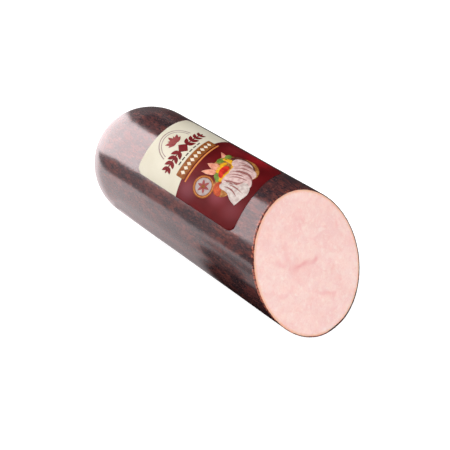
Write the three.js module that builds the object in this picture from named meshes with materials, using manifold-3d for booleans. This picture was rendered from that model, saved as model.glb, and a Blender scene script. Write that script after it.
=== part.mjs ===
// A cooked, smoked ham log of about two kilograms, cut on the slant and lying on its side.
//
// Four pieces: the pressed ham, the film casing that it was cooked in, the clip that closes the casing's
// gathered end, and the label stuck along the top. The log's axis runs along X, with the cut end at +X and
// the clipped, rounded end at -X. +Z is up, and the origin is at the middle of the bounding box's base.
// All sizes are in millimetres and degrees.

import * as THREE from "three";
import { mergeVertices } from "three/addons/utils/BufferGeometryUtils.js";
import Module from "manifold-3d";

// The log
const CALIBRE = 105; // outside diameter of the filled casing
const BODY_LENGTH = 181; // straight part, from where the rounded end starts to the middle of the cut
const DOME_DEPTH = 52.5; // how far the rounded end runs on past the straight part
const CUT_LEAN = 32; // how far the cut leans back from upright, top towards the clipped end
const CUT_SKEW = 5; // how far the cut is turned from square across, seen from above
const REST_FLAT_WIDTH = 18; // the soft log flattens this wide where it lies

// The navel: the hollow that the gathered casing is drawn into at the clipped end
const NAVEL_RADIUS = 18;
const NAVEL_DEPTH = 9;

// The casing
const CASING_WALL = 0.6;
const FIT_GAP = 0.3; // clearance between pieces that touch
const NECK_RADIUS = 4; // the casing gathered tight under the clip
const TAIL_RADIUS = 8; // the casing fanning out again past the clip
const TAIL_LENGTH = 6.5;
const TAIL_FLARE = 1.3; // 1 is a straight cone, more opens later
const TAIL_PLEATS = 8;
const PLEAT_SHARE = 0.16; // how much of the tail's radius its pleats go in and out

// The clip: one turn of flattened aluminium wire, crimped shut
const CLIP_WIDTH = 3.4; // along the log
const CLIP_THICKNESS = 2.2; // away from the neck
const CLIP_OPENING = 16; // angle left between the wire's two ends
const CLIP_EDGE = 0.5; // rounding of the wire's edges

// The label
const LABEL_LENGTH = 106; // along the log
const LABEL_WIDTH = 78; // round the log
const LABEL_THICKNESS = 0.3;
const LABEL_CORNER = 6;
const LABEL_TO_CUT = 50; // from the middle of the cut to the label's nearer edge, along the axis
const LABEL_TURN = 8.2; // how far the label's middle sits from the top, towards -Y
const LABEL_SLANT = 6; // how far its two ends lean off square, the -Y side nearer the cut

// How finely round shapes are divided
const ROUND_STEPS = 48;
const DOME_STEPS = 9;
const NAVEL_STEPS = 4;
const TAIL_STEPS = 4;
const LABEL_STEPS = [16, 18]; // along the log, round it
const CLIP_STEPS = 24;

// Worked out from the sizes above. Along X, 0 is where the rounded end meets the straight part.
const RADIUS = CALIBRE / 2;
const AXIS_HEIGHT = Math.sqrt(RADIUS ** 2 - (REST_FLAT_WIDTH / 2) ** 2);
const HAM_INSET = CASING_WALL + FIT_GAP;
const CLIP_INNER_RADIUS = NECK_RADIUS + FIT_GAP;
const CLIP_OUTER_RADIUS = CLIP_INNER_RADIUS + CLIP_THICKNESS;
const REACH = BODY_LENGTH + CALIBRE; // further along the axis than any part of the slanted cut
const CUT_NORMAL = new THREE.Vector3(
  1,
  -Math.tan(THREE.MathUtils.degToRad(CUT_SKEW)),
  Math.tan(THREE.MathUtils.degToRad(CUT_LEAN)),
).normalize();

const wasm = await Module();
wasm.setup();

// ---------------------------------------------------------------------------------------------------------
// Joining and cutting

function solidOf(geometry) {
  const bare = geometry.clone();
  bare.deleteAttribute("normal");
  bare.deleteAttribute("uv");
  const merged = mergeVertices(bare, 1e-4);
  return new wasm.Manifold(
    new wasm.Mesh({
      numProp: 3,
      vertProperties: new Float32Array(merged.attributes.position.array),
      triVerts: new Uint32Array(merged.index.array),
    }),
  );
}

function geometryOf(solid) {
  const mesh = solid.getMesh();
  return new THREE.BufferGeometry()
    .setAttribute("position", new THREE.BufferAttribute(mesh.vertProperties, 3))
    .setIndex(new THREE.BufferAttribute(mesh.triVerts, 1));
}

// ---------------------------------------------------------------------------------------------------------
// The log's outline

// How far a point of the rounded end at this radius is drawn in by the navel.
function navelAt(radius) {
  const share = Math.min(radius / NAVEL_RADIUS, 1);
  return (NAVEL_DEPTH * (1 + Math.cos(Math.PI * share))) / 2;
}

// Where the rounded end lies at a radius, on a surface that is inset from the casing's outside.
function domeAt(radius, inset) {
  const share = Math.min(radius / (RADIUS - inset), 1);
  return -(DOME_DEPTH - inset) * Math.sqrt(1 - share ** 2) + navelAt(radius);
}

// The casing's outside radius at a place on the axis: less where the end starts to round over.
function sideAt(along) {
  const into = THREE.MathUtils.clamp(-along / DOME_DEPTH, 0, 1);
  return RADIUS * Math.sqrt(1 - into ** 2);
}

// Points (radius, place on the axis) from the navel out over the rounded end to the straight part.
function domeProfile(firstRadius, inset) {
  const points = [];
  for (let i = 0; i < NAVEL_STEPS; i++) {
    const radius = THREE.MathUtils.lerp(firstRadius, NAVEL_RADIUS, i / NAVEL_STEPS);
    points.push(new THREE.Vector2(radius, domeAt(radius, inset)));
  }
  const outer = RADIUS - inset;
  const firstAngle = Math.asin(NAVEL_RADIUS / outer);
  for (let i = 0; i <= DOME_STEPS; i++) {
    const angle = THREE.MathUtils.lerp(firstAngle, Math.PI / 2, i / DOME_STEPS);
    const radius = outer * Math.sin(angle);
    points.push(new THREE.Vector2(radius, domeAt(radius, inset)));
  }
  return points;
}

// Turns a profile round the log's axis: a lathe turns about Y, and the log lies along X.
function turned(points) {
  return new THREE.LatheGeometry(points, ROUND_STEPS).rotateZ(-Math.PI / 2);
}

// The whole log, inset from the casing's outside and running on past the cut.
function logSolid(inset) {
  const points = domeProfile(0, inset);
  points.push(new THREE.Vector2(RADIUS - inset, REACH), new THREE.Vector2(0, REACH));
  return flattened(solidOf(turned(points)), inset);
}

// Takes off what would lie below the surface that the log rests on.
function flattened(solid, inset) {
  const depth = CALIBRE;
  const slab = new THREE.BoxGeometry(4 * REACH, 2 * CALIBRE, depth).translate(
    0,
    0,
    -(AXIS_HEIGHT - inset) - depth / 2,
  );
  return solid.subtract(solidOf(slab));
}

// The block on the far side of the knife's slanted cut.
function knifeSolid() {
  const depth = REACH;
  const turn = new THREE.Quaternion().setFromUnitVectors(new THREE.Vector3(1, 0, 0), CUT_NORMAL);
  const block = new THREE.BoxGeometry(depth, 4 * CALIBRE, 4 * CALIBRE)
    .translate(depth / 2, 0, 0)
    .applyQuaternion(turn)
    .translate(BODY_LENGTH, 0, 0);
  return solidOf(block);
}

// ---------------------------------------------------------------------------------------------------------
// The pieces

function hamGeometry() {
  return geometryOf(logSolid(HAM_INSET).subtract(knifeSolid()));
}

// Where the clip sits on the neck: clear of the navel's slope at the clip's own radius.
function clipPlace() {
  const near = domeAt(CLIP_OUTER_RADIUS, 0) - FIT_GAP;
  return { near, middle: near - CLIP_WIDTH / 2, far: near - CLIP_WIDTH };
}

// The gathered casing: fanned out past the clip, drawn in to the neck and sunk halfway into the film.
function tailProfile() {
  const clip = clipPlace();
  const points = [new THREE.Vector2(0, clip.far - TAIL_LENGTH)];
  for (let i = TAIL_STEPS; i >= 0; i--) {
    const share = i / TAIL_STEPS;
    const radius = THREE.MathUtils.lerp(NECK_RADIUS, TAIL_RADIUS, share ** TAIL_FLARE);
    points.push(new THREE.Vector2(radius, clip.far - TAIL_LENGTH * share));
  }
  const sunk = CASING_WALL / 2;
  points.push(new THREE.Vector2(NECK_RADIUS, clip.near));
  points.push(new THREE.Vector2(NECK_RADIUS, domeAt(NECK_RADIUS, 0) + sunk));
  points.push(new THREE.Vector2(0, domeAt(0, 0) + sunk));
  return points;
}

// The gathered casing with its pleats, which open from nothing at the clip to their full depth.
function tailGeometry() {
  const geometry = turned(tailProfile());
  const place = geometry.attributes.position;
  for (let i = 0; i < place.count; i++) {
    const past = Math.max(0, clipPlace().far - place.getX(i)) / TAIL_LENGTH;
    const angle = Math.atan2(place.getZ(i), place.getY(i));
    const share = 1 + PLEAT_SHARE * past * Math.cos(TAIL_PLEATS * angle);
    place.setXYZ(i, place.getX(i), place.getY(i) * share, place.getZ(i) * share);
  }
  return geometry;
}

function casingGeometry() {
  const shell = logSolid(0).subtract(logSolid(CASING_WALL)).subtract(knifeSolid());
  return geometryOf(shell.add(solidOf(tailGeometry())));
}

// The clip's path: a turn round the neck, open for a small angle at the bottom.
class ClipPath extends THREE.Curve {
  getPoint(share, target = new THREE.Vector3()) {
    const opening = THREE.MathUtils.degToRad(CLIP_OPENING);
    const angle = -Math.PI / 2 + opening / 2 + share * (2 * Math.PI - opening);
    const radius = CLIP_INNER_RADIUS + CLIP_THICKNESS / 2;
    return target.set(clipPlace().middle, radius * Math.cos(angle), radius * Math.sin(angle));
  }
}

// A rectangle with rounded corners, about the origin.
function roundedRectangle(width, height, corner) {
  const [x, y] = [width / 2 - corner, height / 2 - corner];
  const shape = new THREE.Shape();
  shape.absarc(x, y, corner, 0, Math.PI / 2);
  shape.absarc(-x, y, corner, Math.PI / 2, Math.PI);
  shape.absarc(-x, -y, corner, Math.PI, 1.5 * Math.PI);
  shape.absarc(x, -y, corner, 1.5 * Math.PI, 2 * Math.PI);
  return shape;
}

function clipGeometry() {
  return new THREE.ExtrudeGeometry(roundedRectangle(CLIP_WIDTH, CLIP_THICKNESS, CLIP_EDGE), {
    steps: CLIP_STEPS,
    curveSegments: 2,
    extrudePath: new ClipPath(),
  });
}

// Half the label's width at a distance from its middle, less at the rounded corners.
function labelHalfWidth(along) {
  const into = Math.max(0, Math.abs(along) - (LABEL_LENGTH / 2 - LABEL_CORNER));
  const lost = LABEL_CORNER - Math.sqrt(Math.max(0, LABEL_CORNER ** 2 - into ** 2));
  return LABEL_WIDTH / 2 - lost;
}

// Spreads evenly spaced rows so that they crowd together towards the label's two ends.
function labelRow(share) {
  return (Math.sin(share * Math.PI) * LABEL_LENGTH) / 2;
}

// A flat sheet bent round the casing: its X runs along the log, its Y round it and its Z away from it.
function labelGeometry() {
  const sheet = new THREE.BoxGeometry(1, 1, LABEL_THICKNESS, ...LABEL_STEPS, 1);
  const middle = BODY_LENGTH - LABEL_TO_CUT - LABEL_LENGTH / 2;
  const turn = THREE.MathUtils.degToRad(LABEL_TURN);
  const slant = Math.tan(THREE.MathUtils.degToRad(LABEL_SLANT));
  const place = sheet.attributes.position;
  for (let i = 0; i < place.count; i++) {
    const row = labelRow(place.getX(i));
    const round = 2 * place.getY(i) * labelHalfWidth(row);
    const along = middle + row - round * slant;
    const angle = Math.PI / 2 + turn - round / RADIUS;
    const radius = sideAt(along) + FIT_GAP + LABEL_THICKNESS / 2 + place.getZ(i);
    place.setXYZ(i, along, radius * Math.cos(angle), radius * Math.sin(angle));
  }
  return sheet;
}

// ---------------------------------------------------------------------------------------------------------
// The object

function piece(name, geometry, colour, roughness, metalness = 0) {
  const material = new THREE.MeshStandardMaterial({ color: colour, roughness, metalness });
  const mesh = new THREE.Mesh(geometry, material);
  mesh.name = name;
  return mesh;
}

const log = new THREE.Group();
log.add(piece("ham", hamGeometry(), 0xf3cdc4, 0.5));
log.add(piece("casing", casingGeometry(), 0x4a2b30, 0.22));
log.add(piece("end_clip", clipGeometry(), 0xc9cccf, 0.35, 1));
log.add(piece("label", labelGeometry(), 0x7a1620, 0.3));

// The origin goes to the middle of the base.
const box = new THREE.Box3().setFromObject(log);
log.position.set(-(box.min.x + box.max.x) / 2, -(box.min.y + box.max.y) / 2, -box.min.z);

const object = new THREE.Group();
object.add(log);

export default object;
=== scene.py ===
import math

import bmesh
import bpy
from mathutils import Matrix, Vector, noise


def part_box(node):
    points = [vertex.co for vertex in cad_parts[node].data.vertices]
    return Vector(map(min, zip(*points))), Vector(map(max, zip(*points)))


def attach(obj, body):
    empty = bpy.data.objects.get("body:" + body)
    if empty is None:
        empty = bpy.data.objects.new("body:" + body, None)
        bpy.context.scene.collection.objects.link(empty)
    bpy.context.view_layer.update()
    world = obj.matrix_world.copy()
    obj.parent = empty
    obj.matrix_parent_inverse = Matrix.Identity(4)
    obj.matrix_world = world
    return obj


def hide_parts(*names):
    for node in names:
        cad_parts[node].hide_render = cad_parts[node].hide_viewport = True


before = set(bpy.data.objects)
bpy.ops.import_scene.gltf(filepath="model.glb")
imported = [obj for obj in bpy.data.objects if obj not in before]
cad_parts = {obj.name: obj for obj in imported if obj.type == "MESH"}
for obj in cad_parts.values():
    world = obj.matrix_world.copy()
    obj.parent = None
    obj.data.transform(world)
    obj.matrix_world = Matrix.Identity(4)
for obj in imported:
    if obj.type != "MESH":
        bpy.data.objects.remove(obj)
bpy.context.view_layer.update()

# A cooked, smoked ham log, cut on the slant and lying on its side. Lengths are in metres and angles in
# radians. X runs along the log with the cut at +X, -Y is the side the label leans to, and Z is up.
# Round the log, an angle starts at -Y and goes up over the top.

MM = 0.001

# ---------------------------------------------------------------------------------------------------------
# Sizes, from the frame and from the driving dimensions of the part

CASING_LOW, CASING_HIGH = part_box("casing")
CLIP_LOW, CLIP_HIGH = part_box("end_clip")
RADIUS = (CASING_HIGH.y - CASING_LOW.y) / 2
AXIS_Z = CASING_HIGH.z - RADIUS
BODY_LENGTH = 181 * MM
DOME_DEPTH = 52.5 * MM  # the rounded end is half a ball
CUT_LEAN = math.radians(32)
CUT_SKEW = math.radians(5)
NAVEL_RADIUS = 18 * MM
NAVEL_DEPTH = 9 * MM
FIT_GAP = 0.3 * MM
NECK_RADIUS = 4 * MM
CLIP_RADIUS = (CLIP_HIGH.y - CLIP_LOW.y) / 2
TAIL_RADIUS = 8.6 * MM
LABEL_LENGTH = 106 * MM
LABEL_WIDTH = 78 * MM
LABEL_CORNER = 6 * MM
LABEL_TO_CUT = 50 * MM
LABEL_ANGLE = math.radians(81.8)
LABEL_SLANT = math.tan(math.radians(6))
PRINT_SHIFT = Vector((2 * MM, 0))  # the printing is a little off the middle of the label

FILM = 0.5 * MM  # the casing's wall, drawn thick enough to see at the cut
FILM_FOLD = 0.7 * MM  # the gathered film is two or three layers thick
MEAT_GAP = 0.05 * MM  # the film clings to the meat
LABEL_LIFT = 0.1 * MM
LABEL_PAPER = 0.14 * MM
INK = 0.025 * MM  # each printed layer stands this far above the one below, so that none of them touch
SLICE = 1.6 * MM  # sheets are sliced this finely before they are bent onto the log

ROUND_STEPS = 256  # steps round the log
FILM_RINGS = 118  # rings along the film's side, about 1.5 mm apart
MEAT_RINGS = 24  # rings along the meat's side, which the film covers
CLIP_CORNER = 0.8 * MM
CLIP_OPENING = math.radians(16)


def smooth_step(low, high, value):
    share = min(max((value - low) / (high - low), 0.0), 1.0)
    return share * share * (3 - 2 * share)


def dome_at(radius, inset=0.0):
    """How far the rounded end reaches at this radius, counted from where the straight part starts."""
    share = min(radius / (RADIUS - inset), 1.0)
    drawn_in = NAVEL_DEPTH * (1 + math.cos(math.pi * min(radius / NAVEL_RADIUS, 1.0))) / 2
    return -(DOME_DEPTH - inset) * math.sqrt(1 - share**2) + drawn_in


START = CLIP_HIGH.x - dome_at(CLIP_RADIUS) + FIT_GAP
TAIL_END = CASING_LOW.x
CUT_MIDDLE = Vector((START + BODY_LENGTH, 0, AXIS_Z))
CUT_NORMAL = Vector((1, -math.tan(CUT_SKEW), math.tan(CUT_LEAN))).normalized()
CUT_UP = (Vector((0, 0, 1)) - CUT_NORMAL * CUT_NORMAL.z).normalized()
CUT_RIGHT = CUT_UP.cross(CUT_NORMAL)
BEYOND_CUT = START + BODY_LENGTH + 2 * RADIUS
AXIS_MIDDLE = Vector((START + BODY_LENGTH / 2, 0, AXIS_Z))
LABEL_MIDDLE = START + BODY_LENGTH - LABEL_TO_CUT - LABEL_LENGTH / 2

# ---------------------------------------------------------------------------------------------------------
# Materials


def linear(hex_colour):
    """A colour written as sRGB hex, turned to the linear values that shaders take."""
    parts = [int(hex_colour[i : i + 2], 16) / 255 for i in (1, 3, 5)]
    return tuple(p / 12.92 if p <= 0.04045 else ((p + 0.055) / 1.055) ** 2.4 for p in parts) + (1.0,)


ARITHMETIC = ["add", "subtract", "multiply", "divide", "multiply_add"]
ARITHMETIC += ["minimum", "maximum", "sqrt", "absolute"]

# The nodes that the materials are made of: Blender's kind, its settings, the inputs that a call gives in
# order, and the output that it returns, where None is all of them. A ramp is 0 at its first number and 1 at
# its second, which may be the smaller.
NODES = {
    "position": ("TexCoord", {}, (), "Object"),
    "flat position": ("TexCoord", {}, (), "UV"),
    "shift": ("Mapping", {}, ("Vector", "Location", "Scale"), 0),
    "split": ("SeparateXYZ", {}, (0,), None),
    "split colour": ("SeparateColor", {}, (0,), None),
    "length": ("VectorMath", {"operation": "LENGTH"}, (0,), "Value"),
    "direction": ("VectorMath", {"operation": "NORMALIZE"}, (0,), "Vector"),
    "dot": ("VectorMath", {"operation": "DOT_PRODUCT"}, (0, 1), "Value"),
    "ramp": ("MapRange", {"interpolation_type": "SMOOTHSTEP"}, ("From Min", "From Max", "Value"), 0),
    "straight ramp": ("MapRange", {"interpolation_type": "LINEAR"}, ("From Min", "From Max", "Value"), 0),
    "noise": ("TexNoise", {}, ("Vector", "Scale", "Detail", "Roughness", "Distortion"), "Fac"),
    "cells": ("TexVoronoi", {"feature": "F1"}, ("Vector", "Scale"), None),
    "muscle seam": ("Attribute", {"attribute_name": "muscle_seam"}, (), "Fac"),
    "mix": ("Mix", {"data_type": "RGBA"}, (0, 6, 7), 2),
    "bump": ("Bump", {}, ("Height", "Distance", "Normal"), 0),
    "glow": ("Emission", {}, ("Color", "Strength"), 0),
    **{name: ("Math", {"operation": name.upper()}, (0, 1, 2), 0) for name in ARITHMETIC},
}


class Finish:
    """A material, its shader and the one function that adds a node to it."""

    def __init__(self, name):
        self.material = bpy.data.materials.new(name)
        self.material.use_nodes = True
        self.tree = self.material.node_tree
        self.shader = self.tree.nodes["Principled BSDF"]

    def node(self, name, *values):
        """Adds one of the nodes above, with a number, a hex colour or another's output for each input."""
        kind, settings, inputs, output = NODES[name]
        made = self.tree.nodes.new(f"ShaderNode{kind}")
        for key, value in settings.items():
            setattr(made, key, value)
        for key, value in zip(inputs, values):
            self.feed(made.inputs[key], value)
        return made.outputs[:] if output is None else made.outputs[output]

    def feed(self, socket, value):
        if isinstance(value, bpy.types.NodeSocket):
            self.tree.links.new(value, socket)
        else:
            socket.default_value = linear(value) if isinstance(value, str) else value

    def shade(self, **inputs):
        """Sets the shader's sockets, with underscores for spaces in their names."""
        for key, value in inputs.items():
            self.feed(self.shader.inputs[key.replace("_", " ")], value)

    def place(self, middle=(0, 0, 0), stretch=(1, 1, 1), source="position"):
        """Coordinates in metres about a point, stretched along each axis."""
        moved = tuple(-m * s for m, s in zip(middle, stretch))
        return self.node("shift", self.node(source), moved, stretch)


def spiced_film():
    """Clear shrunk film over a hot-smoked, spice-rubbed surface: dark red-brown and purple-black, streaked
    along the log with rust-coloured paprika and pepper, under a gloss that the spices break up a little."""
    f = Finish("spiced_smoked_film")
    at = f.place(stretch=(0.5, 1, 1))
    blotch = f.node("noise", at, 1 / (13 * MM), 4.0, 0.6, 0.4)
    cluster = f.node("noise", at, 1 / (7 * MM), 3.0, 0.6, 0.6)
    streak = f.node("noise", at, 1 / (2.8 * MM), 3.0, 0.75, 0.25)
    dust = f.node("noise", at, 1 / (0.8 * MM), 2.0, 0.7)
    speck, tint = f.node("cells", at, 1 / (1.5 * MM))[:2]
    peel = f.node("noise", at, 1 / (5 * MM), 4.0, 0.65, 0.8)
    smoke = f.node("mix", f.node("ramp", 0.38, 0.62, blotch), "#361a1d", "#602d2a")
    smoke = f.node("mix", f.node("multiply", f.node("ramp", 0.46, 0.56, peel), 0.7), smoke, "#1a1922")
    smoke = f.node("mix", f.node("multiply", f.node("ramp", 0.52, 0.4, streak), 0.6), smoke, "#1a1218")
    paprika = f.node("multiply", f.node("ramp", 0.47, 0.62, streak), f.node("ramp", 0.44, 0.62, cluster))
    colour = f.node("mix", f.node("multiply", paprika, 0.75), smoke, "#73392e")
    chance, paleness = f.node("split colour", tint)[:2]
    grit = f.node("multiply", f.node("ramp", 0.4, 0.15, speck), f.node("ramp", 0.62, 0.9, chance))
    rust = f.node("mix", paleness, "#6e3a30", "#94584a")
    colour = f.node("mix", f.node("multiply", grit, 0.5), colour, rust)
    colour = f.node("mix", f.node("multiply", f.node("ramp", 0.48, 0.72, dust), 0.55), colour, "#6b403c")
    # Rind and spice that the knife has dragged over the film's cut edge, in patches
    middle = f.place(CUT_MIDDLE)
    past_cut = f.node("dot", middle, CUT_NORMAL)
    right = f.node("dot", middle, CUT_RIGHT)
    torn = f.node("multiply_add", right, -2.5, f.node("noise", middle, 1 / (2.2 * MM), 3.0, 0.7))
    near_cut = f.node("multiply_add", torn, 1.2 * MM, past_cut)
    dragged = f.node("ramp", -1.6 * MM, -0.7 * MM, near_cut)
    colour = f.node("mix", f.node("multiply", dragged, f.node("ramp", 0.56, 0.68, torn)), colour, "#b45f49")
    under = f.node("bump", f.node("add", dust, streak), 0.12 * MM)
    over = f.node("bump", f.node("noise", at, 1 / (9 * MM), 2.0, 0.5), 0.1 * MM)
    over = f.node("bump", streak, 0.035 * MM, over)
    f.shade(Base_Color=colour, Roughness=0.7, Specular_IOR_Level=0.05, Normal=under)
    f.shade(Coat_Weight=1.0, Coat_Roughness=0.16, Coat_IOR=1.5, Coat_Normal=over)
    return f.material


def cooked_ham():
    """Moist pressed ham: pale pink muscle with paler gelatine and faint seams, turning peach and then
    smoked orange-brown at the rind. Light goes a little way into it."""
    f = Finish("cooked_pressed_ham")
    at = f.place(CUT_MIDDLE)
    across = f.place(CUT_MIDDLE, (0, 1, 1))
    radius = f.node("length", across)
    muscle = f.node("noise", at, 1 / (19 * MM), 3.0, 0.55, 0.8)
    fibre = f.node("noise", at, 1 / (3.4 * MM), 4.0, 0.65, 1.2)
    crumb = f.node("noise", at, 1 / (0.9 * MM), 2.0, 0.6)
    meat = f.node("mix", f.node("ramp", 0.36, 0.66, muscle), "#f5d3cb", "#f1c7c1")
    meat = f.node("mix", f.node("multiply", f.node("ramp", 0.5, 0.72, fibre), 0.7), meat, "#f8dfd5")
    meat = f.node("mix", f.node("multiply", f.node("ramp", 0.5, 0.3, fibre), 0.5), meat, "#edbab5")
    fleck = f.node("cells", at, 1 / (7 * MM))[0]
    pale = f.node("multiply_add", f.node("ramp", 0.45, 0.6, crumb), -0.1, fleck)
    meat = f.node("mix", f.node("multiply", f.node("ramp", 0.26, 0.06, pale), 0.3), meat, "#fbebe2")
    meat = f.node("mix", f.node("multiply", f.node("muscle seam"), 0.85), meat, "#e79598")
    # Peach under the rind, then the rind itself, which is thin and comes and goes round the edge
    ragged = f.node("noise", at, 1 / (2.6 * MM), 3.0, 0.65)
    edge = f.node("multiply_add", ragged, 2.0 * MM, radius)
    meat = f.node("mix", f.node("ramp", RADIUS - 2.4 * MM, RADIUS + 0.1 * MM, edge), meat, "#efb99e")
    in_patches = f.node("ramp", 0.4, 0.6, muscle)
    rind = f.node("multiply", f.node("ramp", RADIUS, RADIUS + 0.5 * MM, edge), in_patches)
    meat = f.node("mix", f.node("multiply", rind, 0.6), meat, "#c2603f")
    meat = f.node("mix", f.node("ramp", RADIUS + 0.45 * MM, RADIUS + 0.7 * MM, edge), meat, "#6e3a2a")
    relief = f.node("bump", crumb, 0.08 * MM, f.node("bump", fibre, 0.25 * MM))
    damp = f.node("multiply_add", f.node("ramp", 0.35, 0.7, fibre), 0.15, 0.38)
    f.shade(Base_Color=meat, Roughness=damp, IOR=1.4, Normal=relief)
    f.shade(Subsurface_Weight=0.35, Subsurface_Scale=2.5 * MM, Subsurface_Radius=(1.0, 0.45, 0.3))
    return f.material


# Where the red brightens: right and up from the label's middle, reach (mm), tone and strength.
# The first three, pale and pinkish, are painted sheen where the gloss mirrors the softbox; the last two
# lighten the red further round the log.
RED_PAINTED_SHEEN_AND_TINT = [
    (-31, 0, 14, "#8a4650", 0.5),
    (-22, -27, 12, "#9a4450", 0.55),
    (-26, -44, 13, "#7a3840", 0.4),
    (34, -30, 20, "#a3161f", 0.9),
    (26, -8, 16, "#7f2328", 0.6),
]


def label_stock():
    """Laminated label paper, printed cream over its far part and deep red below an arched border, with
    painted sheen and lighter patches in the red. The laminate is smooth but not a mirror."""
    f = Finish("laminated_label_paper")
    at = f.place(source="flat position")
    right, up = f.node("split", at)[:2]
    off = f.node("add", right, 4 * MM)
    arch = f.node("multiply", f.node("multiply", off, off), 2.2)
    above = f.node("add", up, arch)
    cream_part = f.node("ramp", 10.1 * MM, 10.3 * MM, above)
    fibre = f.node("noise", at, 1 / (1.5 * MM), 3.0, 0.6)
    wash = f.node("noise", at, 1 / (22 * MM), 2.0, 0.5)
    cream = f.node("mix", f.node("ramp", 0.3, 0.7, wash), "#dfd8c4", "#d5cdb6")
    cream = f.node("mix", f.node("multiply", fibre, 0.3), cream, "#e8e2d2")
    red = f.node("mix", f.node("ramp", 0.35, 0.65, wash), "#540b0f", "#630f13")
    # Lighter patches in the red, of which the pale pinkish ones are painted sheen of the softbox
    for right_mm, up_mm, reach_mm, tone, share in RED_PAINTED_SHEEN_AND_TINT:
        away = f.node("length", f.place((right_mm * MM, up_mm * MM, 0), (1, 1, 0), "flat position"))
        red = f.node("mix", f.node("multiply", f.node("ramp", reach_mm * MM, 0.0, away), share), red, tone)
    f.shade(Base_Color=f.node("mix", cream_part, red, cream), Roughness=0.4, Specular_IOR_Level=0.035)
    return f.material


def ink(name, tone, shade):
    """Printing ink on label paper: one tone that drifts to another, as a printed picture's does."""
    f = Finish(name)
    drift = f.node("ramp", 0.35, 0.65, f.node("noise", f.place(), 1 / (3 * MM), 3.0, 0.6))
    f.shade(Base_Color=f.node("mix", drift, tone, shade), Roughness=0.4, Specular_IOR_Level=0.035)
    return f.material


def drawn_aluminium():
    """Bright drawn aluminium wire, dulled a little by the crimping die, with fine lines along it."""
    f = Finish("drawn_aluminium_wire")
    at = f.place((CLIP_LOW.x, 0, AXIS_Z), (6, 1, 1))
    lines = f.node("noise", at, 1 / (0.5 * MM), 3.0, 0.6)
    wear = f.node("noise", at, 1 / (3 * MM), 2.0, 0.5)
    colour = f.node("mix", f.node("ramp", 0.3, 0.7, wear), "#c9cbce", "#dfe1e3")
    f.shade(Base_Color=colour, Metallic=1.0, Roughness=f.node("multiply_add", wear, 0.2, 0.25))
    f.shade(Normal=f.node("bump", lines, 0.02 * MM))
    return f.material


def pale_floor():
    """A plain, brightly lit white surface."""
    f = Finish("pale_floor")
    f.shade(Base_Color="#b4b4b4", Roughness=0.8)
    f.shade(Emission_Color="#ffffff", Emission_Strength=0.84)
    return f.material


def glowing_card(name, brightness):
    """A studio card that shines by its own light, as bright at each place as brightness says. It is
    faintly pink, as the film over the spices is."""
    f = Finish(name)
    f.feed(f.tree.nodes["Material Output"].inputs["Surface"], f.node("glow", "#fff1f3", brightness(f)))
    return f.material


# ---------------------------------------------------------------------------------------------------------
# Mesh helpers


def add_piece(name, bm, materials, replaced=()):
    """Makes a finished piece of a bmesh that is already in its place."""
    mesh = bpy.data.meshes.new(name)
    bm.to_mesh(mesh)
    bm.free()
    piece = bpy.data.objects.new(name, mesh)
    bpy.context.scene.collection.objects.link(piece)
    for material in materials:
        mesh.materials.append(material)
    mesh.shade_smooth()
    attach(piece, "root")
    if replaced:
        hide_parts(*replaced)
    return piece


def spun(bm, profile):
    """Spins a profile of (x, radius) points round the log's axis."""
    points = [bm.verts.new((x, 0, AXIS_Z + r)) for x, r in profile]
    edges = [bm.edges.new(pair) for pair in zip(points, points[1:])]
    full = {"angle": math.tau, "steps": ROUND_STEPS, "use_merge": True, "use_duplicate": False}
    axis = {"cent": (0, 0, AXIS_Z), "axis": (1, 0, 0), "dvec": (0, 0, 0)}
    bmesh.ops.spin(bm, geom=points + edges, **axis, **full)
    bmesh.ops.remove_doubles(bm, verts=bm.verts, dist=0.001 * MM)


def knife(bm):
    """Takes off what lies past the slanted cut, and leaves it open."""
    everything = bm.verts[:] + bm.edges[:] + bm.faces[:]
    plane = {"plane_co": CUT_MIDDLE, "plane_no": CUT_NORMAL, "dist": 0.0001 * MM}
    bmesh.ops.bisect_plane(bm, geom=everything, clear_outer=True, clear_inner=False, **plane)


def polar(point):
    """(x, angle, radius) of a point about the log's axis."""
    height = point.z - AXIS_Z
    return point.x, math.atan2(height, -point.y), math.hypot(point.y, height)


def around(x, angle, radius):
    return Vector((x, -radius * math.cos(angle), AXIS_Z + radius * math.sin(angle)))


def lump(x, angle):
    """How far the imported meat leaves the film's surface lower than a true cylinder, in metres."""
    on_side = around(x, angle, RADIUS)
    broad = noise.noise(on_side / (38 * MM))
    close = noise.noise(on_side / (11 * MM) + Vector((7, 3, 5)))
    return (0.2 - 0.16 * broad - 0.025 * close) * MM


def next_ring(bm, rim, place):
    """Grows a strip of faces from a rim, to where place puts each of its points. Returns the new rim's
    edges and its points."""
    grown = bmesh.ops.extrude_edge_only(bm, edges=rim)["geom"]
    ring = [g for g in grown if isinstance(g, bmesh.types.BMVert)]
    for v in ring:
        v.co = place(v.co)
    return [g for g in grown if isinstance(g, bmesh.types.BMEdge) and g.is_boundary], ring


def flatten(verts, floor_z):
    """The soft log settles: what would reach below the surface it lies on is pressed up onto it."""
    blend = 0.8 * MM
    for v in verts:
        over = v.co.z - floor_z
        v.co.z = floor_z + (over + math.sqrt(over**2 + blend**2)) / 2


def lengthwise(bm, radius):
    """The long straight edges at this distance from the axis, from the rounded end to the cut."""
    long = [e for e in bm.edges if e.calc_length() > 100 * MM]
    return [e for e in long if all(abs(polar(v.co)[2] - radius) < 0.05 * MM for v in e.verts)]


def arc_profile(inset, first_radius, steps):
    """(x, radius) points over the rounded end, outwards from a radius to the straight part."""
    outer = RADIUS - inset
    first = math.asin(first_radius / outer)
    angles = [first + (math.pi / 2 - first) * i / steps for i in range(steps + 1)]
    return [(START + dome_at(outer * math.sin(a), inset), outer * math.sin(a)) for a in angles]


# ---------------------------------------------------------------------------------------------------------
# The ham

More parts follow.
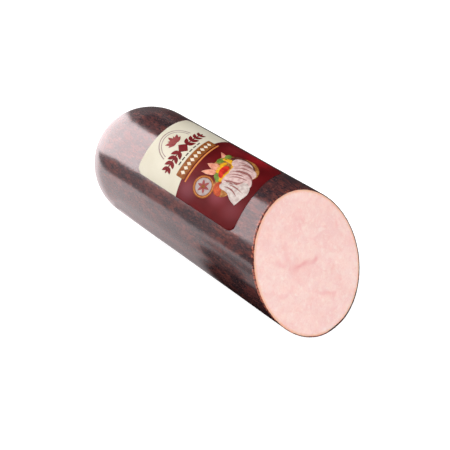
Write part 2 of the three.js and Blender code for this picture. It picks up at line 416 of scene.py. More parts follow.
# Seams between muscles on the cut face: strength, half width, and the points they pass through, in
# millimetres to the right of and above the middle of the face
SEAMS = [
    (0.45, 4.0, [(-31, 18.5), (-24, 12.5), (-17, 6)]),
    (0.9, 3.4, [(-16, 5), (-7.9, 4.1), (0, 2), (7, 2)]),
    (0.8, 6.5, [(-18, 6.5), (-12, 4.5)]),
    (0.3, 4.5, [(-17, 27), (-19, 20), (-15.6, 6)]),
    (0.35, 3.0, [(-43, -1.2), (-34, -7.9), (-24, -7.1)]),
    (0.55, 2.8, [(-8.7, -18.3), (0.6, -28), (14, -34), (10.4, -37.4)]),
    (0.35, 2.6, [(2, 39.7), (7, 38), (9, 32.4), (4, 33)]),
    (0.3, 2.6, [(21, -14.5), (16, -18), (13.8, -21.2)]),
    (0.3, 3.0, [(41, 3), (37, 10), (38, 16)]),
]


def distance_to_path(point, path):
    nearest = math.inf
    for a, b in zip(path, path[1:]):
        a, b = Vector(a) * MM, Vector(b) * MM
        along = min(max((point - a).dot(b - a) / (b - a).length_squared, 0.0), 1.0)
        nearest = min(nearest, (point - a.lerp(b, along)).length)
    return nearest


def seam_at(point):
    """1 on a seam between muscles, falling to 0 beside it."""
    from_middle = point - CUT_MIDDLE
    flat = Vector((from_middle.dot(CUT_RIGHT), from_middle.dot(CUT_UP)))
    wander = Vector((noise.noise(point / (9 * MM)), noise.noise(point / (9 * MM) + Vector((5, 9, 2)))))
    flat += wander * 2.5 * MM
    patchy = 0.7 + 0.6 * noise.noise(point / (9 * MM) + Vector((1, 4, 8)))
    return max(
        patchy * strength * (1 - smooth_step(0, width * MM, distance_to_path(flat, path)))
        for strength, width, path in SEAMS
    )


# Steps inwards over the cut face (mm), short at the rim, where it is rounded
FACE_RINGS = [0.25, 0.3, 0.4, 0.5, 0.7, 0.9] + [1.25] * 38


def face_relief(point):
    """How far the cut face lies behind the knife's plane, in metres."""
    edge = RADIUS - FILM - MEAT_GAP - polar(point)[2]
    broad = 0.5 + 0.5 * noise.noise(point / (22 * MM))
    close = 0.5 + 0.5 * noise.noise(point / (4.5 * MM))
    rounding = 0.35 * (1 - smooth_step(0, 1.2 * MM, edge))
    return (0.3 * broad + 0.12 * close + 0.3 * seam_at(point) + rounding) * MM


def build_ham():
    inset = FILM + MEAT_GAP
    outer = RADIUS - inset
    bm = bmesh.new()
    seam_layer = bm.verts.layers.float.new("muscle_seam")
    # The navel's hollow is a little deeper in the meat, clear of the film's folds.
    hollow = [(START + dome_at(r, inset) + 1.5 * MM, r) for r in (0, 4 * MM, 8 * MM, 12 * MM, 16 * MM)]
    spun(bm, hollow + arc_profile(inset, 20 * MM, 16) + [(BEYOND_CUT, outer)])
    knife(bm)
    bmesh.ops.subdivide_edges(bm, edges=lengthwise(bm, outer), cuts=MEAT_RINGS, use_grid_fill=True)
    rim = [e for e in bm.edges if e.is_boundary]
    face = {v for e in rim for v in e.verts}
    distance = outer
    for step in FACE_RINGS:
        share = 1 - step * MM / distance
        distance -= step * MM
        rim, ring = next_ring(bm, rim, lambda spot: CUT_MIDDLE.lerp(spot, share))
        face.update(ring)
    bmesh.ops.pointmerge(bm, verts=ring, merge_co=CUT_MIDDLE)
    bmesh.ops.recalc_face_normals(bm, faces=bm.faces)
    for v in [v for v in face if v.is_valid]:
        v[seam_layer] = seam_at(v.co)
        v.co -= CUT_NORMAL * face_relief(v.co)
    flatten(bm.verts, inset)
    add_piece("ham_meat", bm, [cooked_ham()], ["ham"])


# ---------------------------------------------------------------------------------------------------------
# The casing

FOLDS = 16  # main folds that gather the film into its neck
FINE_FOLDS = 37  # smaller ones between and across them
PLEAT = 0.55  # the share of the neck's radius that a crease takes
FOLD_DEPTH = 1.9 * MM  # how deep a crease is on the rounded end


def fold_at(angle):
    """0 along a crease of the gathered film, 1 on the ridge between two creases."""
    wander = 0.7 * math.sin(3 * angle + 1) + 0.4 * math.sin(5 * angle + 2)
    main = abs(math.sin((FOLDS * angle + wander) / 2)) ** 0.7
    fine = abs(math.sin((FINE_FOLDS * angle + 2 * wander) / 2)) ** 0.8
    return 0.75 * main + 0.25 * fine


def gathered(x, angle, radius):
    """Where a point of the smooth film goes once the film is drawn into creases and lumps."""
    crease = 1 - fold_at(angle)
    if x < START + dome_at(radius) - 0.5 * MM and radius < NAVEL_RADIUS:
        # The neck and the tail: the film is pleated right in towards the middle.
        return x, radius * (1 - PLEAT * crease)
    on_dome = 1 - smooth_step(5 * MM, 40 * MM, radius)
    depth = FOLD_DEPTH * on_dome * smooth_step(0, 6 * MM, radius)
    inward = lump(x, angle) * smooth_step(NAVEL_RADIUS, RADIUS * 0.8, radius)
    if x < START:
        slope = radius / RADIUS
        return x + depth * crease + inward * (1 - slope), radius - inward * slope
    return x, radius - inward


def casing_profile():
    """(x, radius) of the film: the fanned tail's inside, its outside, the neck, the end and the side."""
    clip_far = CLIP_LOW.x
    tail = clip_far - TAIL_END
    inside = [(clip_far - tail * 0.35, 0), (clip_far - tail * 0.45, NECK_RADIUS * 0.4)]
    inside += [(TAIL_END + tail * 0.3, TAIL_RADIUS * 0.5), (TAIL_END, TAIL_RADIUS - FILM_FOLD)]
    outside = []
    for i in range(10, -1, -1):
        share = i / 10
        radius = NECK_RADIUS + (TAIL_RADIUS - NECK_RADIUS) * share**1.3
        outside.append((clip_far - tail * share, radius))
    foot = START + dome_at(NECK_RADIUS)
    neck = [(clip_far + (foot - clip_far) * i / 4, NECK_RADIUS) for i in range(1, 4)]
    navel_steps = 15
    radii = [NECK_RADIUS + (NAVEL_RADIUS - NECK_RADIUS) * i / navel_steps for i in range(navel_steps)]
    navel = [(START + dome_at(r), r) for r in radii]
    return inside + outside + neck + navel + arc_profile(0, NAVEL_RADIUS, 40) + [(BEYOND_CUT, RADIUS)]


def build_casing():
    bm = bmesh.new()
    spun(bm, casing_profile())
    knife(bm)
    bmesh.ops.subdivide_edges(bm, edges=lengthwise(bm, RADIUS), cuts=FILM_RINGS, use_grid_fill=True)
    for v in bm.verts:
        at_cut = abs((v.co - CUT_MIDDLE).dot(CUT_NORMAL)) < 0.01 * MM
        x, angle, radius = polar(v.co)
        x, radius = gathered(x, angle, radius)
        v.co = around(x, angle, radius)
        if at_cut:
            # The knife leaves the film's edge slightly ragged.
            v.co -= CUT_NORMAL * (0.25 + 0.25 * noise.noise(v.co / (2.5 * MM))) * MM
    flatten(bm.verts, 0)
    # The wall's cut edge, then its inside, which is hidden by the ham and closes over the rounded end
    inner = RADIUS - FILM
    rim = [e for e in bm.edges if e.is_boundary]
    rim, ring = next_ring(bm, rim, lambda spot: CUT_MIDDLE.lerp(spot, inner / RADIUS))
    flatten(ring, FILM)
    hidden = [(START + dome_at(r, FILM) + 1.2 * MM, r) for r in (0.5 * MM, 6 * MM, 12 * MM)]
    for x, radius in reversed(hidden + arc_profile(FILM, 20 * MM, 10)):
        rim, ring = next_ring(bm, rim, lambda spot: around(x, polar(spot)[1], radius))
        flatten(ring, FILM)
    bmesh.ops.pointmerge(bm, verts=ring, merge_co=(x, 0, AXIS_Z))
    bmesh.ops.recalc_face_normals(bm, faces=bm.faces)
    add_piece("casing_film", bm, [spiced_film()], ["casing"])


# ---------------------------------------------------------------------------------------------------------
# The label


def on_label(right, up, lift):
    """Where a spot of the flat label, right and up from its middle, lies on the log."""
    angle = LABEL_ANGLE + right / RADIUS
    x = LABEL_MIDDLE - up - right * LABEL_SLANT
    return around(x, angle, RADIUS - lump(x, angle) + LABEL_LIFT + lift)


def bend_to_log(bm, lift):
    """Bends a flat sheet, drawn with X right and Y up, onto the log, after slicing it finely enough."""
    for axis in (0, 1):
        normal = Vector((1 - axis, axis, 0))
        reach = [v.co[axis] for v in bm.verts]
        first = math.floor(min(reach) / SLICE) + 1
        last = math.ceil(max(reach) / SLICE)
        for i in range(first, last):
            everything = bm.verts[:] + bm.edges[:] + bm.faces[:]
            plane = {"plane_co": normal * i * SLICE, "plane_no": normal, "dist": 0.001 * MM}
            bmesh.ops.bisect_plane(bm, geom=everything, **plane)
    for v in bm.verts:
        v.co = on_label(v.co.x, v.co.y, lift)


def rounded_sheet(width, height, corner, steps=10):
    """A flat sheet about the origin, with rounded corners."""
    bm = bmesh.new()
    bmesh.ops.create_grid(bm, x_segments=1, y_segments=1, size=0.5)
    bmesh.ops.scale(bm, vec=(width, height, 1), verts=bm.verts)
    corners = {"affect": "VERTICES", "segments": steps, "profile": 0.5, "material": -1}
    bmesh.ops.bevel(bm, geom=bm.verts[:], offset=corner, offset_type="OFFSET", **corners)
    return bm


def build_label():
    bm = rounded_sheet(LABEL_WIDTH, LABEL_LENGTH, LABEL_CORNER)
    flat = bm.loops.layers.uv.new("flat")
    for face in bm.faces:
        for loop in face.loops:
            loop[flat].uv = loop.vert.co.xy - PRINT_SHIFT
    bend_to_log(bm, LABEL_PAPER)
    label = add_piece("label_sticker", bm, [label_stock()], ["label"])
    thicken(label, LABEL_PAPER)


def thicken(sheet, depth):
    """Gives a sheet its thickness, downwards from its face."""
    wall = sheet.modifiers.new("thickness", "SOLIDIFY")
    wall.thickness = depth
    wall.offset = -1


# ---------------------------------------------------------------------------------------------------------
# The label's printing: plain ornaments and a picture of a serving, in mm right and up from its middle

INKS = {
    "cream": ("#efe4d0", "#e6d8c0"),
    "wine": ("#7c1e22", "#651519"),
    "gold": ("#9a5d2c", "#82471f"),
    "apricot": ("#d98a4a", "#cf7b3c"),
    "charcoal": ("#3a2a26", "#2e211e"),
    "rose_grey": ("#a98f8c", "#9a7e7b"),
    "brick": ("#9a4a48", "#8a3c3c"),
    "stone": ("#b9a9a6", "#a79592"),
    "crust": ("#c0874a", "#8f5627"),
    "salmon": ("#e8a88c", "#cf7a62"),
    "lettuce": ("#7f9440", "#55702a"),
    "yellow_pepper": ("#ecb424", "#d99a1a"),
    "red_pepper": ("#d63220", "#b01c18"),
    "carrot": ("#cc5a2c", "#a83e20"),
    "slice": ("#dfc4be", "#c79f9a"),
    "slice_front": ("#d9cdc6", "#bda9a2"),
    "fold": ("#a9736e", "#8f5652"),
    "gap": ("#6d3b30", "#4a241e"),
}

# A leaf's outline, for a length of 1
LEAF = [(0, 0, "tip"), (0.35, 0.21), (0.7, 0.17), (1, 0, "tip"), (0.7, -0.17), (0.35, -0.21)]

# The serving, from the back layer to the front: ink, layer and outline
SERVING = [
    ("salmon", 3, [(-13, -2.6, "tip"), (-9.2, -6), (-6.2, -12), (-8.6, -14.4), (-12.4, -9.4)]),
    ("salmon", 3, [(-4.4, -2.4, "tip"), (-1.6, -6), (-0.4, -12), (-4.2, -14), (-6.4, -8)]),
    ("salmon", 3, [(13.1, -3, "tip"), (12.9, -7), (9.8, -11.4), (6.4, -10.6), (9, -6.6)]),
    ("crust", 2, [(-9, -10), (-10, -17), (-17, -19), (-22.8, -23), (-23.2, -28), (-20.6, -33), (-14, -36),
                  (-4, -36), (6, -44), (12, -43.4), (19, -38), (22.4, -31), (21.6, -24), (19, -19),
                  (14.5, -12.5), (11, -9), (3, -7.2), (-3, -7.4)]),
    ("lettuce", 4, [(0.6, -9), (4, -6.8), (8.6, -9.4), (13, -9), (15.6, -12), (13, -14), (8, -12.6),
                    (3, -12)]),
    ("lettuce", 3, [(-13, -17.4), (-10, -14.4), (-7, -15.4), (-6, -19), (-10, -21.6), (-14, -20.4)]),
    ("yellow_pepper", 3, [(-7.4, -14.4), (-3, -12.2), (3.4, -13), (5.8, -15.4), (0, -15.4), (-6, -17)]),
    ("carrot", 3, [(-22.6, -23.4), (-18, -20.2), (-13.4, -21.4), (-13, -24.4), (-18, -27.6),
                   (-22.8, -28.6)]),
    ("yellow_pepper", 4, [(6.9, -9.8), (9.9, -12.6), (10.6, -19), (8, -24.6), (1.4, -25.8), (-6, -24.8),
                          (-12.4, -22.4), (-12, -20.4), (-5, -21.4), (2, -22), (5.8, -20), (6.9, -15)]),
    ("red_pepper", 5, [(-6.4, -16.2), (-2.4, -15.2), (1.8, -16.6), (3.4, -19.4), (0.4, -21.4), (-4.6, -20.6),
                       (-9.2, -21.2), (-9.6, -19.2)]),
    ("gap", 3, [(9.6, -15.4), (16, -15), (20, -20), (20.6, -27), (18, -34), (12, -40), (6, -42), (10, -30)]),
    ("slice", 5, [(6, -21), (10.4, -17.6), (15.4, -18.8), (18.6, -24), (18.4, -30), (14.4, -36), (10, -37),
                  (8, -30)]),
    ("slice", 6, [(-3, -24.6), (3, -22.6), (9.6, -24), (13, -30.6), (13.4, -38), (9.4, -43), (3.4, -42.4),
                  (0, -34)]),
    ("slice", 7, [(-12, -23.8), (-6, -22.8), (0.4, -25), (4, -31.6), (4.6, -39.6), (0.4, -45.2), (-6, -46),
                  (-9.6, -38), (-14, -30)]),
    ("slice_front", 8, [(-15.4, -23.9), (-11.4, -25.6), (-8, -31), (-7.4, -37.4), (-2.2, -40.2), (-3, -45),
                        (-9.1, -48.4), (-16.6, -46.4), (-22.5, -44.3, "tip"), (-20.4, -38), (-17.2, -33)]),
]

# Creases of the folded slices and the shade beside their edges: layer, points from end to end, half width
CREASES = [
    (6, [(9.6, -20.6), (14, -24.6), (16.6, -33.6)], 0.6),
    (7, [(4.6, -24), (9, -30), (10.6, -40.6)], 0.6),
    (8, [(-6.4, -24.6), (-1.6, -31.4), (0.6, -42.6)], 0.6),
    (8, [(-3.4, -24.6), (0.8, -30.6), (2, -37)], 0.6),
    (9, [(-14, -27.2), (-13.2, -34), (-16.4, -43)], 0.6),
    (9, [(-11, -28.6), (-10, -36), (-11.4, -45.4)], 0.6),
    (8, [(-9.6, -23.6), (-8.4, -29.4), (-6.4, -35.8), (-1.6, -39.4)], 1.5),
    (7, [(0.8, -24), (4.8, -30.6), (5.6, -39), (2.6, -44.4)], 1.5),
    (6, [(9.8, -23.4), (13.8, -30.2), (14.4, -37)], 1.5),
]


def filled(points):
    """A flat shape with a smooth outline through its points; a point marked "tip" is left sharp."""
    curve = bpy.data.curves.new("outline", "CURVE")
    curve.dimensions = "2D"
    curve.fill_mode = "BOTH"
    curve.resolution_u = 5
    spline = curve.splines.new("BEZIER")
    spline.use_cyclic_u = True
    spline.bezier_points.add(len(points) - 1)
    for spot, point in zip(spline.bezier_points, points):
        spot.co = (point[0], point[1], 0)
        kind = "VECTOR" if len(point) > 2 else "AUTO"
        spot.handle_left_type = kind
        spot.handle_right_type = kind
    outline = bpy.data.objects.new("outline", curve)
    bm = bmesh.new()
    bm.from_mesh(outline.to_mesh())
    outline.to_mesh_clear()
    bpy.data.objects.remove(outline)
    bpy.data.curves.remove(curve)
    bmesh.ops.scale(bm, vec=(MM, MM, MM), verts=bm.verts)
    bmesh.ops.remove_doubles(bm, verts=bm.verts, dist=0.001 * MM)
    return bm


def disc(radius, right, up, steps=48):
    bm = bmesh.new()
    place = Matrix.Translation((right * MM, up * MM, 0))
    bmesh.ops.create_circle(bm, cap_ends=True, segments=steps, radius=radius * MM, matrix=place)
    return bm


def ring(outer, inner, right, up):
    bm = bmesh.new()
    place = Matrix.Translation((right * MM, up * MM, 0))
    for radius in (outer, inner):
        bmesh.ops.create_circle(bm, cap_ends=False, segments=72, radius=radius * MM, matrix=place)
    bmesh.ops.bridge_loops(bm, edges=bm.edges)
    return bm


def bar(left, right, low, high, corner):
    bm = rounded_sheet((right - left) * MM, (high - low) * MM, corner * MM, 4)
    bmesh.ops.translate(bm, vec=((left + right) * MM / 2, (low + high) * MM / 2, 0), verts=bm.verts)
    return bm


def leaf(length, right, up, turn, width=1.0):
    """A pointed leaf that starts at a spot and lies in a direction (degrees from right)."""
    bm = filled([(p[0] * length, p[1] * length * width, *p[2:]) for p in LEAF])
    turned = Matrix.Rotation(math.radians(turn), 4, "Z")
    bmesh.ops.transform(bm, matrix=Matrix.Translation((right * MM, up * MM, 0)) @ turned, verts=bm.verts)
    return bm


def crease(points, width):
    """A tapering line, as a thin filled shape."""
    swell = [width * math.sin(math.pi * i / (len(points) - 1)) for i in range(len(points))]
    there = [(x + wide, y) for (x, y), wide in zip(points, swell)]
    back = [(x - wide, y) for (x, y), wide in zip(points, swell)]
    ends = [(*there[0], "tip")] + there[1:-1] + [(*there[-1], "tip")]
    return filled(ends + back[1:-1][::-1])


EMBLEM = (-3, 31)  # the middle of its two rings
EMBLEM_LEAVES = {20: 8.6, 42: 10.5, 64: 8.6, 90: 10.5, 116: 8.6, 138: 10.5, 160: 8.6}  # turn: length
GARLAND_MIDDLE = -3.6
GARLAND_HEIGHT = 25.7
SEAL = (-22.5, -12.1)


def emblem_shapes():
    """A fan of leaves inside two plain rings, whose lower parts are cut off along a straight line."""
    shapes = [("rose_grey", 0, ring(18.2, 17.3, *EMBLEM)), ("rose_grey", 0, ring(15.9, 15.2, *EMBLEM))]
    for _, _, hoop in shapes:
        everything = hoop.verts[:] + hoop.edges[:] + hoop.faces[:]
        cut = {"plane_co": (0, 33.4 * MM, 0), "plane_no": (0, -1, 0), "clear_outer": True}
        bmesh.ops.bisect_plane(hoop, geom=everything, dist=0.001 * MM, **cut)
    for turn, length in EMBLEM_LEAVES.items():
        shapes.append(("brick", 1, leaf(length, -2.6, 34, turn, 0.8)))
    return shapes


def garland_shapes():
    """A stem with leaves on both sides, its halves starting from a lozenge, and dashes under it."""
    shapes = [("wine", 2, disc(5.6, GARLAND_MIDDLE, GARLAND_HEIGHT, 4))]
    for side, backwards in ((-1, 180), (1, 0)):
        for i in range(4):
            foot = GARLAND_MIDDLE + side * (4.4 + i * 5.3)
            for tilt in (42, -42):
                turn = backwards + side * tilt
                shapes.append(("wine", 2, leaf(8.2 - 0.5 * i, foot, GARLAND_HEIGHT, turn, 1.05)))
        tip = GARLAND_MIDDLE + side * 23.2
        shapes.append(("wine", 2, leaf(4.6, tip - side * 1.4, GARLAND_HEIGHT, backwards)))
        ends = sorted((GARLAND_MIDDLE + side * 4, tip))
        shapes.append(("wine", 3, bar(*ends, GARLAND_HEIGHT - 0.6, GARLAND_HEIGHT + 0.6, 0.3)))
    for i in range(6):
        dash = -18.4 + i * 4.9
        shapes.append(("charcoal", 2, bar(dash, dash + 3.6, 17.7, 18.8, 0.3)))
    return shapes


def band_shapes():
    """The gold band with its row of lozenges, and the line under it."""
    shapes = [("gold", 2, bar(-26.4, 18.4, 6.6, 15.5, 1.0))]
    shapes.append(("apricot", 2, bar(-27.2, 19.2, 4.1, 5.5, 0.5)))
    for i in range(9):
        lozenge = disc(2.4, 0, 0, 4)
        bmesh.ops.scale(lozenge, vec=(0.75, 1, 1), verts=lozenge.verts)
        bmesh.ops.translate(lozenge, vec=((-21.6 + i * 4.4) * MM, 11 * MM, 0), verts=lozenge.verts)
        shapes.append(("cream", 3, lozenge))
    return shapes


def seal_shapes():
    """A rosette in a rim."""
    shapes = [("gold", 1, disc(9.5, *SEAL)), ("apricot", 2, ring(8.7, 8.2, *SEAL))]
    shapes.append(("stone", 2, disc(7.2, *SEAL)))
    for turn in range(30, 390, 60):
        shapes.append(("brick", 3, leaf(5.8, *SEAL, turn, 0.95)))
    return shapes + [("gold", 4, disc(1.6, *SEAL, 24))]


def printed_shapes():
    """Every printed shape: its ink, its layer and its flat sheet."""
    shapes = emblem_shapes() + garland_shapes() + band_shapes() + seal_shapes()
    shapes += [(name, layer, filled(points)) for name, layer, points in SERVING]
    shapes += [("fold", layer, crease(points, width)) for layer, points, width in CREASES]
    return shapes


def build_print():
    sheet = bmesh.new()
    names = list(INKS)
    for name, layer, shape in printed_shapes():
        shape.normal_update()
        if sum(f.normal.z for f in shape.faces) < 0:
            bmesh.ops.reverse_faces(shape, faces=shape.faces)
        for face in shape.faces:
            face.material_index = names.index(name)
        bmesh.ops.translate(shape, vec=PRINT_SHIFT.to_3d(), verts=shape.verts)
        bend_to_log(shape, LABEL_PAPER + INK * (layer + 1))
        held = bpy.data.meshes.new("shape")
        shape.to_mesh(held)
        shape.free()
        sheet.from_mesh(held)
        bpy.data.meshes.remove(held)
    inks = [ink(f"printing_ink_{name}", *tones) for name, tones in INKS.items()]
    thicken(add_piece("label_print", sheet, inks), INK * 0.6)


# ---------------------------------------------------------------------------------------------------------
# The clip


def build_clip():
    bm = bmesh.new()
    width = CLIP_HIGH.x - CLIP_LOW.x
    middle_x = (CLIP_HIGH.x + CLIP_LOW.x) / 2
    thick = CLIP_RADIUS - NECK_RADIUS - FIT_GAP
    bmesh.ops.create_grid(bm, x_segments=1, y_segments=1, size=0.5)
    bmesh.ops.scale(bm, vec=(width, thick, 1), verts=bm.verts)
    bmesh.ops.rotate(bm, matrix=Matrix.Rotation(math.pi / 2, 3, "X"), verts=bm.verts)
    corners = {"affect": "VERTICES", "segments": 5, "profile": 0.5, "material": -1}
    bmesh.ops.bevel(bm, geom=bm.verts[:], offset=CLIP_CORNER, offset_type="OFFSET", **corners)
    to_top = Vector((middle_x, 0, AXIS_Z + NECK_RADIUS + FIT_GAP + thick / 2))
    bmesh.ops.translate(bm, vec=to_top, verts=bm.verts)
    first = bm.faces[:]
    start_turn = Matrix.Rotation(math.pi + CLIP_OPENING / 2, 3, "X")
    bmesh.ops.rotate(bm, cent=(0, 0, AXIS_Z), matrix=start_turn, verts=bm.verts)
    axis = {"cent": (0, 0, AXIS_Z), "axis": (1, 0, 0), "dvec": (0, 0, 0)}
    bmesh.ops.spin(bm, geom=first, angle=math.tau - CLIP_OPENING, steps=72, use_duplicate=False, **axis)
    bmesh.ops.recalc_face_normals(bm, faces=bm.faces)
    add_piece("clip_wire", bm, [drawn_aluminium()], ["end_clip"])


# ---------------------------------------------------------------------------------------------------------
# The stage

VIEW_AZIMUTH = math.radians(42.68)
VIEW_ELEVATION = math.radians(44.87)
VIEW_DISTANCE = 10.124 * RADIUS
VIEW_DROP = 0.239 * RADIUS  # the view's middle is this far below the middle of the log's axis


def view_axes():
    """The camera's right, up and back directions."""
    a, e = VIEW_AZIMUTH, VIEW_ELEVATION
    right = Vector((math.cos(a), math.sin(a), 0))
    back = Vector((math.sin(a) * math.cos(e), -math.cos(a) * math.cos(e), math.sin(e)))
    return right, back.cross(right), back


def place_camera():
    right, up, back = view_axes()
    camera = bpy.data.objects.new("camera", bpy.data.cameras.new("camera"))
    camera.data.lens = 50
    camera.data.sensor_width = 36
    place = Matrix.Translation(AXIS_MIDDLE - up * VIEW_DROP + back * VIEW_DISTANCE)
    camera.matrix_world = place @ Matrix((right, up, back)).transposed().to_4x4()
    bpy.context.scene.collection.objects.link(camera)
    bpy.context.scene.camera = camera


def area_light(name, towards, distance, width, height, radiance):
    """A rectangular softbox seen from the log in a direction, facing it. radiance is its brightness."""
    data = bpy.data.lights.new(name, "AREA")
    data.shape = "RECTANGLE"
    data.size = width
    data.size_y = height
    data.energy = radiance * math.pi * width * height
    light = bpy.data.objects.new(name, data)
    back = Vector(towards).normalized()
    side = (Vector((1, 0, 0)) - back * back.x).normalized()
    pose = Matrix((side, back.cross(side), back)).transposed().to_4x4()
    light.matrix_world = Matrix.Translation(AXIS_MIDDLE + back * distance) @ pose
    bpy.context.scene.collection.objects.link(light)
    return light


def add_surface(name, corners, material):
    """A flat part of the stage, between corners."""
    bm = bmesh.new()
    bmesh.ops.contextual_create(bm, geom=[bm.verts.new(c) for c in corners])
    mesh = bpy.data.meshes.new(name)
    bm.to_mesh(mesh)
    bm.free()
    mesh.materials.append(material)
    surface = bpy.data.objects.new(name, mesh)
    bpy.context.scene.collection.objects.link(surface)
    return surface


def seen_only_in_gloss(surface):
    """A card that a glossy surface mirrors, and that neither lights the set nor shows to the camera."""
    surface.visible_camera = False
    surface.visible_diffuse = False
    surface.visible_shadow = False
    surface.visible_transmission = False
    surface.visible_volume_scatter = False


# Dark spots on the card in front of the cut: place to the right and towards the back, half width, half
# depth (mm) and strength. They slant along with the gloss that they show in.
DARK_SPOTS = [(100, -64, 80, 66, 1.0), (58, -140, 34, 62, 0.85), (75, -340, 70, 150, 0.6)]

# The outlines of the cards, in metres from the middle of the log's axis: the one on the floor to the right
# and back, the softbox to the right and down its slope, and the end wall to the back and up
BOUNCE_OUTLINE = [(0.12, -1.2), (0.12, 0), (-0.105, 0), (-0.11, -0.047), (-0.126, -0.09), (-0.151, -0.144),
                  (-0.252, -0.338), (-0.737, -1.2)]
SOFTBOX_OUTLINE = [(-0.1, 0.71), (-0.78, 0.71), (-0.98, 0.75), (-1.6, 1.12), (-1.6, -0.94), (-0.1, -0.94)]
WALL_OUTLINE = [(-3.2, -3.2), (-3.2, 2.2), (0.5, 2.2), (0.6, 1.2), (1.9, 0.9), (1.9, -3.2)]

ROOM_TONE = (0.2, 0.2, 0.21, 1)
GLOSS_TONE = (0.05, 0.05, 0.055, 1)
BACKDROP_TONE = (0.95, 0.95, 0.95, 1)
FLOOR_REACH = 6.0
CARD_LIFT = 0.3 * MM  # the card lies this far above the floor
SOFTBOX_TILT = math.radians(61.4)
SOFTBOX_AWAY = 1.2
WALL_AWAY = 1.6
KEY_TILT = math.radians(68)
KEY_SHIFT = 3.6  # the key light stands this far towards the log's rounded end

BRIGHT_SIDE = Vector((0.48, -0.52, 0.71))  # the end wall is brighter on its near and upper side
WALL_LEVEL = 9.2  # its brightness square to that side
WALL_SWING = 8.4  # and what straight towards that side adds
WALL_DIMMEST = 1.0
WALL_BRIGHTEST = 11.5
WALL_REMAINDER = 0.08  # what is left of its light in the gap and past its back edge
# The dark gap across the wall, from the start of the rounded end: the height of its middle and half its
# width straight behind the log, each with what a metre to the back adds. A negative half is no gap.
GAP_HEIGHT, GAP_SLOPE = -0.474, -0.4
GAP_HALF, GAP_SPREAD = -0.03, -0.32
GAP_BLUR = 0.06
WALL_END, WALL_END_SLOPE = 0.72, -0.32  # how far back it is lit at the log's height, and per metre up
WALL_END_BLUR = 0.08


def build_floor():
    signs = [(-1, -1), (1, -1), (1, 1), (-1, 1)]
    square = [(x * FLOOR_REACH, y * FLOOR_REACH, 0) for x, y in signs]
    floor = add_surface("floor", square, pale_floor())
    floor.visible_glossy = False
    floor.visible_diffuse = False


def bounce_light(f):
    """Brighter away from the log and towards its rounded end, with dark spots in front of the cut."""
    right, back = f.node("split", f.place(AXIS_MIDDLE))[:2]
    away = f.node("absolute", back)
    # Dim under the log, brighter from 36 mm out, and a little more so from 90 mm out
    lit = f.node("multiply_add", f.node("ramp", 36 * MM, 90 * MM, away), 1.4, 0.5)
    lit = f.node("multiply_add", f.node("ramp", 90 * MM, 160 * MM, away), 0.35, lit)
    leftwards = f.node("straight ramp", 10 * MM, -140 * MM, right)
    lit = f.node("multiply", lit, f.node("multiply_add", leftwards, 0.8, 0.85))
    slanted = f.node("multiply_add", back, -0.5, right)
    for spot_right, spot_back, half_width, half_depth, strength in DARK_SPOTS:
        across = f.node("divide", f.node("subtract", slanted, spot_right * MM), half_width * MM)
        along = f.node("divide", f.node("subtract", back, spot_back * MM), half_depth * MM)
        squared = f.node("multiply_add", across, across, f.node("multiply", along, along))
        inside = f.node("ramp", 1.0, 0.7, f.node("sqrt", squared))
        lit = f.node("multiply", lit, f.node("multiply_add", inside, -strength, 1.0))
    behind = f.node("ramp", 0.0, 50 * MM, back)
    return f.node("multiply", lit, f.node("multiply_add", behind, -0.6, 1.0))


def softbox_light(f):
    """Brighter past the log's rounded end."""
    right = f.node("split", f.place(AXIS_MIDDLE))[0]
    return f.node("multiply_add", f.node("ramp", -0.55, -1.05, right), 5.5, 6.0)


def wall_light(f):
    """Brightest towards the softbox, with the dark gap that parts the softbox from the floor."""
    at = f.place((START, 0, AXIS_Z))
    _, back, up = f.node("split", at)
    facing = f.node("dot", f.node("direction", at), BRIGHT_SIDE)
    lit = f.node("multiply_add", facing, WALL_SWING, WALL_LEVEL)
    lit = f.node("minimum", f.node("maximum", lit, WALL_DIMMEST), WALL_BRIGHTEST)
    above_gap = f.node("subtract", up, f.node("multiply_add", back, GAP_SLOPE, GAP_HEIGHT))
    half_gap = f.node("multiply_add", back, GAP_SPREAD, GAP_HALF)
    over = f.node("ramp", -GAP_BLUR, GAP_BLUR, f.node("subtract", above_gap, half_gap))
    under = f.node("ramp", GAP_BLUR, -GAP_BLUR, f.node("add", above_gap, half_gap))
    # Under the gap the wall stands in for the floor, which is dimmer, most of all at the front
    floor_share = f.node("multiply_add", f.node("ramp", -0.87, 0.0, back), 0.35, 0.5)
    level = f.node("maximum", over, f.node("multiply", under, floor_share))
    back_edge = f.node("multiply_add", f.node("minimum", up, 1.0), WALL_END_SLOPE, WALL_END)
    past_edge = f.node("subtract", back, back_edge)
    level = f.node("multiply", level, f.node("ramp", WALL_END_BLUR, -WALL_END_BLUR, past_edge))
    return f.node("multiply", lit, f.node("multiply_add", level, 1 - WALL_REMAINDER, WALL_REMAINDER))


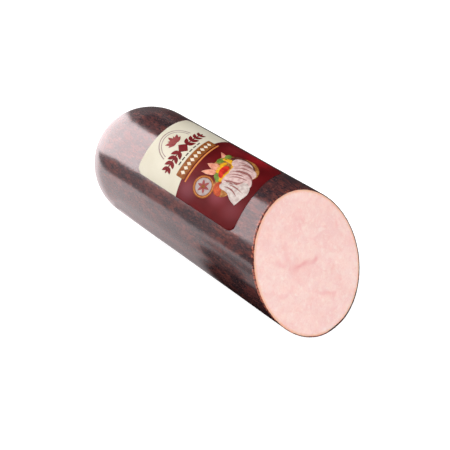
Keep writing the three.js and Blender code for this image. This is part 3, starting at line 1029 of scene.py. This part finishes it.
def hang_backdrop():
    """The room's light: soft and grey on the set, white to the camera, and dark in the gloss, which draws
    a thin dark edge along the top of the log."""
    world = bpy.data.worlds.new("studio")
    bpy.context.scene.world = world
    world.use_nodes = True
    tree = world.node_tree
    tree.nodes.clear()
    path = tree.nodes.new("ShaderNodeLightPath")
    backgrounds = []
    for tone in (ROOM_TONE, GLOSS_TONE, BACKDROP_TONE):
        background = tree.nodes.new("ShaderNodeBackground")
        background.inputs["Color"].default_value = tone
        backgrounds.append(background.outputs[0])
    seen = backgrounds[0]
    for ray, background in zip(("Is Glossy Ray", "Is Camera Ray"), backgrounds[1:]):
        choose = tree.nodes.new("ShaderNodeMixShader")
        tree.links.new(path.outputs[ray], choose.inputs[0])
        tree.links.new(seen, choose.inputs[1])
        tree.links.new(background, choose.inputs[2])
        seen = choose.outputs[0]
    output = tree.nodes.new("ShaderNodeOutputWorld")
    tree.links.new(seen, output.inputs[0])


def place_lights():
    towards_key = (0, -math.cos(KEY_TILT), math.sin(KEY_TILT))
    key = area_light("softbox", towards_key, distance=1.2, width=7.0, height=1.88, radiance=2.1)
    key.location.x -= KEY_SHIFT
    fill = area_light("fill", (0.88, -0.22, 0.42), distance=1.4, width=1.2, height=1.2, radiance=4.15)
    for light in (key, fill):
        light.visible_glossy = False


def place_cards():
    """What the film's gloss mirrors: the card on the floor in front, the softbox above it, and the end
    wall, which also stands in for the floor past the rounded end."""
    on_floor = Vector((AXIS_MIDDLE.x, 0, CARD_LIFT))
    corners = [on_floor + Vector((*corner, 0)) for corner in BOUNCE_OUTLINE]
    seen_only_in_gloss(add_surface("bounce_card", corners, glowing_card("bounce_card", bounce_light)))

    towards = Vector((0, -math.cos(SOFTBOX_TILT), math.sin(SOFTBOX_TILT)))
    down_slope = Vector((0, -towards.z, towards.y))
    middle = AXIS_MIDDLE + towards * SOFTBOX_AWAY
    corners = [middle + Vector((right, 0, 0)) + down_slope * down for right, down in SOFTBOX_OUTLINE]
    seen_only_in_gloss(add_surface("softbox_front", corners, glowing_card("softbox_cloth", softbox_light)))

    corners = [AXIS_MIDDLE + Vector((-WALL_AWAY, *corner)) for corner in WALL_OUTLINE]
    seen_only_in_gloss(add_surface("end_wall", corners, glowing_card("end_wall", wall_light)))


# ---------------------------------------------------------------------------------------------------------

bpy.context.scene.view_settings.view_transform = "Standard"
place_camera()
build_floor()
hang_backdrop()
place_lights()
place_cards()
build_ham()
build_casing()
build_label()
build_print()
build_clip()
